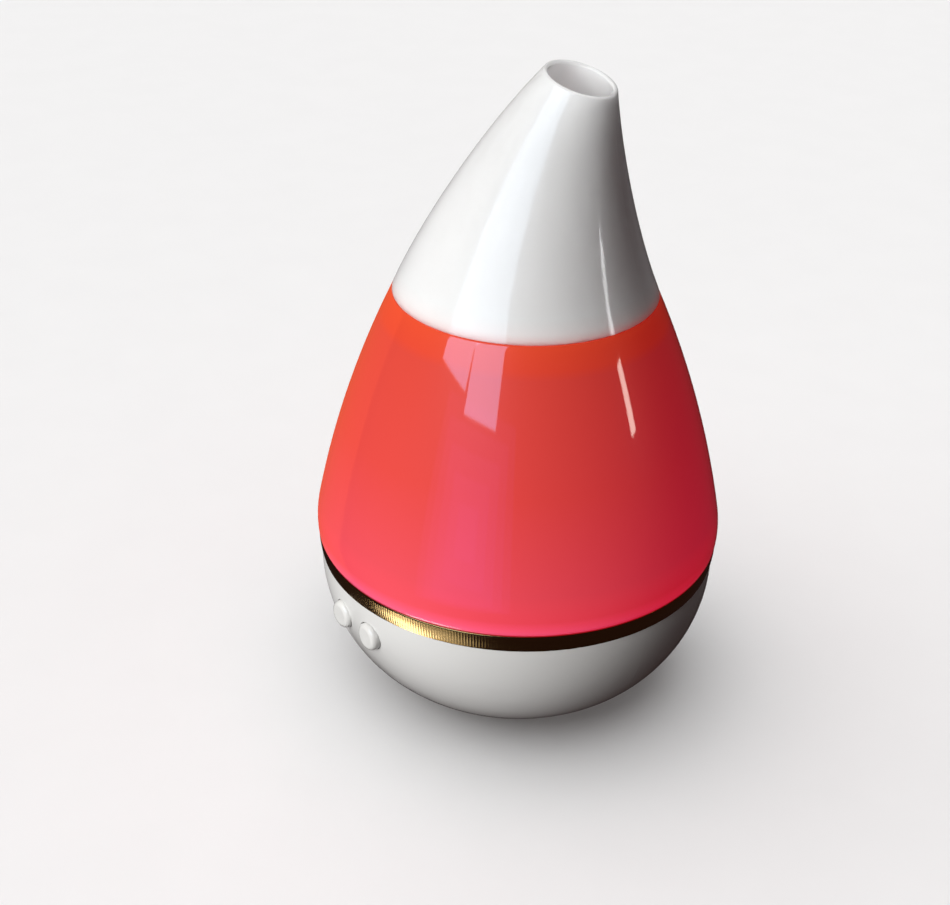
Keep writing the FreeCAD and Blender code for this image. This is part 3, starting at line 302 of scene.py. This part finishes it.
def outer_side(tree):
    """1 on faces that look away from the upright axis, 0 on faces that look in towards it."""
    place = add_node(tree, "TexCoord")
    flat = add_node(tree, "VectorMath", operation="MULTIPLY")
    flat.inputs[1].default_value = (1, 1, 0)
    facing = add_node(tree, "VectorMath", operation="DOT_PRODUCT")
    tree.links.new(place.outputs["Object"], flat.inputs[0])
    tree.links.new(flat.outputs["Vector"], facing.inputs[0])
    tree.links.new(place.outputs["Normal"], facing.inputs[1])
    return scaled(tree, facing.outputs["Value"], 0, 1, -MM, MM)


def glow_shell():
    """Gloss shell with a painted red glow standing in for the lamps inside: pink just over the lights,
    deeper up the side, orange at the seam.
    """
    made, tree, shader = start_material(
        "glow_shell", (0.47, 0.075, 0.07), 0.4, IOR=1.5, Coat_Weight=1.0, Coat_Roughness=0.04,
        Specular_IOR_Level=0.1)
    up = height_share(tree, SHELL_LOW.z, SHELL_HIGH.z)
    # Painted glow: emission that stands in for the red lamps inside, pinkest at the foot and orange at the
    # seam, on outward faces only.
    light = ramp(tree, up, [
        (0.0, (0.64, 0.006, 0.034)),
        (0.03, (0.58, 0.005, 0.026)),
        (0.06, (0.5, 0.005, 0.024)),
        (0.16, (0.4, 0.005, 0.024)),
        (0.6, (0.32, 0.004, 0.018)),
        (0.89, (0.28, 0.004, 0.012)),
        (0.92, (0.31, 0.005, 0.006)),
        (1.0, (0.3, 0.005, 0.004)),
    ])
    tree.links.new(light, shader.inputs["Emission Color"])
    tree.links.new(outer_side(tree), shader.inputs["Emission Strength"])
    # Painted glow in the base colour as well: red all over, pinker at the foot and more orange at the seam.
    painted_glow_base = ramp(tree, up, [
        (0.0, (0.52, 0.14, 0.27)),
        (0.03, (0.52, 0.1, 0.17)),
        (0.06, (0.49, 0.076, 0.09)),
        (0.5, (0.46, 0.062, 0.038)),
        (0.89, (0.45, 0.06, 0.032)),
        (0.92, (0.47, 0.06, 0.026)),
        (1.0, (0.5, 0.068, 0.024)),
    ])
    tree.links.new(painted_glow_base, shader.inputs["Base Color"])
    tree.links.new(scaled(tree, noise(tree, 20 * MM), 0.36, 0.42), shader.inputs["Roughness"])
    raise_surface(tree, shader, noise(tree, 12 * MM, detail=0.0), 0.004 * MM)
    return made


def white_nozzle():
    """Gloss white plastic that light passes through a little, with painted red light from the glowing shell
    at its foot.
    """
    made, tree, shader = start_material(
        "white_nozzle", (0.9, 0.9, 0.89), 0.34, Subsurface_Weight=1.0, Subsurface_Radius=(1, 1, 1),
        Subsurface_Scale=0.004, **WHITE_GLOSS)
    # Painted red light from the shell, pinkest at the cap's foot and fading out within its lowest tenth.
    painted_red_spill = ramp(tree, height_share(tree, SHELL_HIGH.z, CAP_HIGH.z), [
        (0.0, (0.93, 0.72, 0.71)),
        (0.04, (0.92, 0.86, 0.85)),
        (0.1, (0.91, 0.92, 0.915)),
        (1.0, (0.9, 0.93, 0.935)),
    ])
    tree.links.new(painted_red_spill, shader.inputs["Base Color"])
    add_grain(tree, shader, (0.34, 0.36), 12 * MM, 0.004 * MM)
    return made


def brass_trim():
    """Dark brass with fine turning marks round the ring."""
    made, tree, shader = start_material("brass_trim", (0.5, 0.33, 0.13), 0.2, Metallic=1.0)
    marks = noise(tree, 8 * MM, (1, 1, 40))
    color = ramp(tree, marks, [(0.3, (0.48, 0.32, 0.12)), (0.7, (0.57, 0.39, 0.17))])
    tree.links.new(color, shader.inputs["Base Color"])
    tree.links.new(scaled(tree, marks, 0.19, 0.23), shader.inputs["Roughness"])
    return made


def frosted_tank():
    """Frosted translucent plastic with a painted red glow at its foot that stands in for the lights under
    it.
    """
    made, tree, shader = start_material(
        "frosted_tank", (0.86, 0.89, 0.9), 0.42, IOR=1.49, Transmission_Weight=0.35)
    tree.links.new(scaled(tree, noise(tree, 3 * MM), 0.36, 0.5), shader.inputs["Roughness"])
    cloud = ramp(tree, noise(tree, 14 * MM), [(0.3, (0.85, 0.86, 0.86)), (0.7, (0.93, 0.94, 0.94))])
    tree.links.new(cloud, shader.inputs["Base Color"])
    up = height_share(tree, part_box("mist_basin")[0].z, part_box("tank_cup")[1].z)
    # Painted glow: emission, red at the foot and fading upward, standing in for the lights under the tank.
    light = ramp(tree, up, [
        (0.0, (0.5, 0.02, 0.03)),
        (0.35, (0.2, 0.008, 0.012)),
        (1.0, (0.02, 0.001, 0.001)),
    ])
    tree.links.new(light, shader.inputs["Emission Color"])
    shader.inputs["Emission Strength"].default_value = 0.15
    raise_surface(tree, shader, noise(tree, 0.5 * MM), 0.02 * MM)
    return made


def board_green():
    """Solder mask over a pattern of copper tracks."""
    made, tree, shader = start_material("board_green", (0.02, 0.16, 0.06), 0.35, Coat_Weight=0.3)
    tracks = add_node(tree, "TexBrick", Scale=160.0, Mortar_Size=0.012, Brick_Width=0.9, Row_Height=0.16)
    tree.links.new(object_space(tree), tracks.inputs["Vector"])
    color = ramp(tree, tracks.outputs["Fac"], [(0.2, (0.015, 0.13, 0.05)), (0.8, (0.05, 0.3, 0.12))])
    tree.links.new(color, shader.inputs["Base Color"])
    tree.links.new(scaled(tree, noise(tree, 1.5 * MM), 0.28, 0.42), shader.inputs["Roughness"])
    raise_surface(tree, shader, tracks.outputs["Fac"], 0.03 * MM)
    return made


def wound_wire(name, dark, light, metallic):
    """Fine wire wound in close turns."""
    made, tree, shader = start_material(name, light, 0.3, Metallic=metallic)
    turns = add_node(tree, "TexWave", Scale=500.0, Distortion=1.0, Detail=1.0, bands_direction="Z")
    tree.links.new(object_space(tree), turns.inputs["Vector"])
    color = ramp(tree, turns.outputs["Fac"], [(0.1, dark), (0.6, light)])
    tree.links.new(color, shader.inputs["Base Color"])
    tree.links.new(scaled(tree, turns.outputs["Fac"], 0.5, 0.25), shader.inputs["Roughness"])
    raise_surface(tree, shader, turns.outputs["Fac"], 0.08 * MM)
    return made


def led_lens():
    """Clear lens over a lit chip."""
    made, tree, shader = start_material("led_lens", (0.95, 0.9, 0.85), 0.12, IOR=1.5)
    chip = ramp(tree, noise(tree, 2 * MM), [(0.35, (1.0, 0.12, 0.1)), (0.65, (1.0, 0.3, 0.25))])
    tree.links.new(chip, shader.inputs["Emission Color"])
    shader.inputs["Emission Strength"].default_value = 2.5
    tree.links.new(scaled(tree, noise(tree, 0.8 * MM), 0.1, 0.2), shader.inputs["Roughness"])
    return made


def floor_paper():
    """Plain pale paper of the studio floor."""
    return mottled("floor_paper", (0.81, 0.81, 0.81), (0.82, 0.82, 0.82), (0.7, 0.85), 4 * MM, 0.02 * MM,
                   {"Specular_IOR_Level": 0.0})


MOTTLED = {
    # slot: darkest and lightest colour, range of roughness, grain, depth and the shader's other values
    "white_shell": ((0.75, 0.74, 0.72), (0.77, 0.76, 0.745), (0.34, 0.36), 12 * MM, 0.004 * MM,
                    WHITE_GLOSS),
    "foot_rubber": ((0.018, 0.018, 0.018), (0.04, 0.04, 0.04), (0.65, 0.85), 0.3 * MM, 0.03 * MM, PLAIN),
    "screw_steel": ((0.42, 0.43, 0.45), (0.62, 0.62, 0.63), (0.22, 0.4), 0.25 * MM, 0.01 * MM, METAL),
    "silicone": ((0.72, 0.72, 0.69), (0.82, 0.82, 0.8), (0.4, 0.5), 0.6 * MM, 0.008 * MM,
                 {"Subsurface_Weight": 0.15, "Subsurface_Scale": 0.002}),
    "transducer_plate": ((0.6, 0.62, 0.64), (0.72, 0.73, 0.75), (0.12, 0.22), 0.3 * MM, 0.004 * MM, METAL),
    "electrode": ((0.6, 0.6, 0.56), (0.78, 0.78, 0.74), (0.3, 0.45), 0.2 * MM, 0.008 * MM, METAL),
    "inner_plastic": ((0.66, 0.65, 0.62), (0.74, 0.73, 0.7), (0.45, 0.6), 0.4 * MM, 0.012 * MM, PLAIN),
    "black_plastic": ((0.012, 0.012, 0.013), (0.03, 0.03, 0.032), (0.4, 0.55), 0.3 * MM, 0.015 * MM, PLAIN),
    "bush_bronze": ((0.4, 0.25, 0.11), (0.58, 0.4, 0.2), (0.35, 0.5), 0.15 * MM, 0.01 * MM, METAL),
    "heat_sink_metal": ((0.5, 0.51, 0.52), (0.64, 0.65, 0.66), (0.3, 0.45), 0.3 * MM, 0.01 * MM, METAL),
    "capacitor_sleeve": ((0.012, 0.014, 0.06), (0.025, 0.03, 0.11), (0.3, 0.4), 0.5 * MM, 0.006 * MM, PLAIN),
    "header_nylon": ((0.7, 0.67, 0.58), (0.8, 0.77, 0.7), (0.4, 0.5), 0.4 * MM, 0.008 * MM, PLAIN),
    "lead_jacket": ((0.4, 0.012, 0.01), (0.6, 0.03, 0.02), (0.35, 0.45), 0.4 * MM, 0.006 * MM, PLAIN),
    "button_plastic": ((0.77, 0.76, 0.74), (0.82, 0.81, 0.79), (0.18, 0.26), 0.6 * MM, 0.002 * MM,
                       WHITE_GLOSS),
    "magnet": ((0.03, 0.03, 0.032), (0.07, 0.07, 0.075), (0.5, 0.65), 0.2 * MM, 0.012 * MM,
               {"Metallic": 0.6}),
}
FINISHES = {slot: mottled(slot, *values) for slot, values in MOTTLED.items()}
FINISHES["white_nozzle"] = white_nozzle()
FINISHES["glow_shell"] = glow_shell()
FINISHES["brass_trim"] = brass_trim()
FINISHES["frosted_tank"] = frosted_tank()
FINISHES["board_green"] = board_green()
FINISHES["led_lens"] = led_lens()
FINISHES["copper_winding"] = wound_wire("copper_winding", (0.25, 0.08, 0.03), (0.75, 0.33, 0.14), 1.0)


def dress_nodes():
    """Gives each CAD node the finish of its own material slot."""
    for part in frame["record"]["subparts"]:
        item = frame["nodes"][part["node"]]
        item.data.materials.clear()
        item.data.materials.append(FINISHES[part["material_slot"]])


# ---------------------------------------------------------------- pieces
SHARP_ANGLE = math.radians(50)


def new_piece(name, mesh, body, slot):
    """Turns a bmesh into a smooth-shaded piece that rides on a body, in a slot's finish."""
    data = bpy.data.meshes.new(name)
    bmesh.ops.recalc_face_normals(mesh, faces=mesh.faces)
    mesh.to_mesh(data)
    mesh.free()
    data.shade_smooth()
    data.set_sharp_from_angle(angle=SHARP_ANGLE)
    data.materials.append(FINISHES[slot])
    piece = bpy.data.objects.new(name, data)
    bpy.context.scene.collection.objects.link(piece)
    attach(piece, body)
    return piece


def lathe(rows, steps):
    """A closed ring of quads. Each row is a function from an angle to (radius, height)."""
    mesh = bmesh.new()
    circles = []
    for row in rows:
        circle = []
        for step in range(steps):
            angle = TURN * step / steps
            radius, height = row(angle)
            circle.append(mesh.verts.new((radius * math.cos(angle), radius * math.sin(angle), height)))
        circles.append(circle)
    for first, second in zip(circles, circles[1:] + circles[:1]):
        for step in range(steps):
            after = (step + 1) % steps
            mesh.faces.new((first[step], first[after], second[after], second[step]))
    return mesh


def level(radius, height):
    """A row of a lathe that is a plain circle."""
    return lambda angle: (radius, height)


RIBS = 450
STEPS_PER_RIB = 5
RIB_DEPTH = 0.028 * MM
RIBS_FROM = 1.6         # where the ribs begin, in heights of a rounded lip
RING_ROUND = 0.3 * MM
LOW_LIP_MIDDLE = 0.35   # the middle of a rounded lip, as a share of RING_ROUND
HIGH_LIP_MIDDLE = 0.3
RING_BOW = 0.16 * MM
RING_CLEARANCE = 0.5 * MM
FACE_ROWS = 8


def ribbed_ring():
    """The brass band: a slightly bowed face with fine upright ribs between two plain, rounded lips."""
    height = RING_HIGH.z - RING_LOW.z
    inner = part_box("tank_gasket")[1].x + RING_CLEARANCE

    def face(share, ribbed):
        flat = BOWL_TOP_RADIUS + (RING_HIGH.x - BOWL_TOP_RADIUS) * share
        bow = RING_BOW * 4 * share * (1 - share)
        return lambda angle: (flat + bow - ribbed * RIB_DEPTH * (0.5 + 0.5 * math.cos(RIBS * angle)),
                              RING_LOW.z + height * share)

    edge = RING_ROUND / height
    middle = RING_ROUND * HIGH_LIP_MIDDLE
    rows = [level(inner, RING_LOW.z), level(BOWL_TOP_RADIUS - RING_ROUND, RING_LOW.z)]
    rows += [face(edge * LOW_LIP_MIDDLE, 0), face(edge, 0), face(edge * RIBS_FROM, 1)]
    rows += [face(share / FACE_ROWS, 1) for share in range(2, FACE_ROWS - 1)]
    rows += [face(1 - edge * RIBS_FROM, 1), face(1 - edge, 0)]
    rows += [level(RING_HIGH.x - middle, RING_HIGH.z - middle)]
    rows += [level(RING_HIGH.x - RING_ROUND, RING_HIGH.z), level(inner, RING_HIGH.z)]
    ring = new_piece("ribbed_trim_ring", lathe(rows, RIBS * STEPS_PER_RIB), "base", "brass_trim")
    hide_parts("trim_ring")
    return ring


def arc(start, end, radius, steps):
    """Points of a (radius, height) outline from start to end, on a circle that bulges outward."""
    start, end = Vector(start), Vector(end)
    half = (end - start) / 2
    inward = Vector((-half.y, half.x)).normalized()
    center = start + half + inward * math.sqrt(radius**2 - half.length_squared)
    first = math.atan2(start.y - center.y, start.x - center.x)
    last = math.atan2(end.y - center.y, end.x - center.x)
    angles = (first + (last - first) * step / steps for step in range(steps + 1))
    return [center + radius * Vector((math.cos(angle), math.sin(angle))) for angle in angles]


SHELL_WALL = 2 * MM
BELLY_TOP = 51 * MM
BELLY_TOP_RADIUS = 52.55 * MM
BELLY_ARC = 22.5 * MM
SIDE_ARC = 258 * MM
SEAM_RADIUS = 33 * MM
LAND_RADIUS = 31 * MM
LAND_BOTTOM = 104.5 * MM
LAND_SLOPE = (2.2 * MM, -1.5 * MM)      # out and up from the land's bottom to the side's inner face
LIP_ROUND = 0.3 * MM
# Rounded edges, each point in shares of LIP_ROUND out and up from the corner.
FOOT_LIP = ((-1, 0), (-0.3, 0.3))
SEAM_LIP = ((0.35, -1), (-0.2, -0.25), (-1, 0))
# Steps of the belly's arc, then of the arc above it.
OUTER_STEPS = (12, 48)
INNER_STEPS = (8, 32)
SHELL_STEPS = 360


def shell_side(wall, top, steps):
    """The outline of the shell's side, wall inside its outer face: the belly's arc, then one up to top."""
    belly_top = (BELLY_TOP_RADIUS - wall, BELLY_TOP)
    belly = arc((RING_HIGH.x - wall, SHELL_LOW.z), belly_top, BELLY_ARC - wall, steps[0])
    return belly + arc(belly_top, top, SIDE_ARC - wall, steps[1])[1:]


def rounded_lip(radius, height, shares):
    """Points of a rounded edge, given as shares of LIP_ROUND out and up from its corner."""
    return [Vector((radius + LIP_ROUND * out, height + LIP_ROUND * up)) for out, up in shares]


def smooth_diffuser():
    """The glowing shell as one fine, even surface of revolution, with rounded lips at its foot and seam."""
    top = SHELL_HIGH.z
    outer = shell_side(0, (SEAM_RADIUS, top), OUTER_STEPS)
    outer[:1] = rounded_lip(RING_HIGH.x, SHELL_LOW.z, FOOT_LIP)
    outer[-1:] = rounded_lip(SEAM_RADIUS, top, SEAM_LIP)
    outer += [Vector((LAND_RADIUS, top)), Vector((LAND_RADIUS, LAND_BOTTOM))]
    land_foot = (LAND_RADIUS + LAND_SLOPE[0], LAND_BOTTOM + LAND_SLOPE[1])
    inner = shell_side(SHELL_WALL, land_foot, INNER_STEPS)
    rows = [level(*point) for point in outer + inner[::-1]]
    shell = new_piece("smooth_diffuser", lathe(rows, SHELL_STEPS), "cover", "glow_shell")
    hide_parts("diffuser_shell")
    return shell


FLOOR_REACH = 4         # metres from its middle to its edges
FLOOR_CELLS = 8


def make_floor():
    """A wide, plain, pale floor under the feet."""
    mesh = bmesh.new()
    bmesh.ops.create_grid(mesh, x_segments=FLOOR_CELLS, y_segments=FLOOR_CELLS, size=FLOOR_REACH)
    data = bpy.data.meshes.new("floor")
    mesh.to_mesh(data)
    mesh.free()
    data.materials.append(floor_paper())
    floor = bpy.data.objects.new("floor", data)
    floor.location.z = CAD_BOX[0].z
    floor.visible_diffuse = False
    floor.visible_glossy = False
    floor.visible_shadow = False
    bpy.context.scene.collection.objects.link(floor)
    return floor


make_camera()
make_surroundings()
dress_nodes()
shell = smooth_diffuser()
band = ribbed_ring()
floor = make_floor()
make_lights(shell, band, [frame["nodes"]["nozzle_cap"], frame["nodes"]["base_bowl"]], floor)
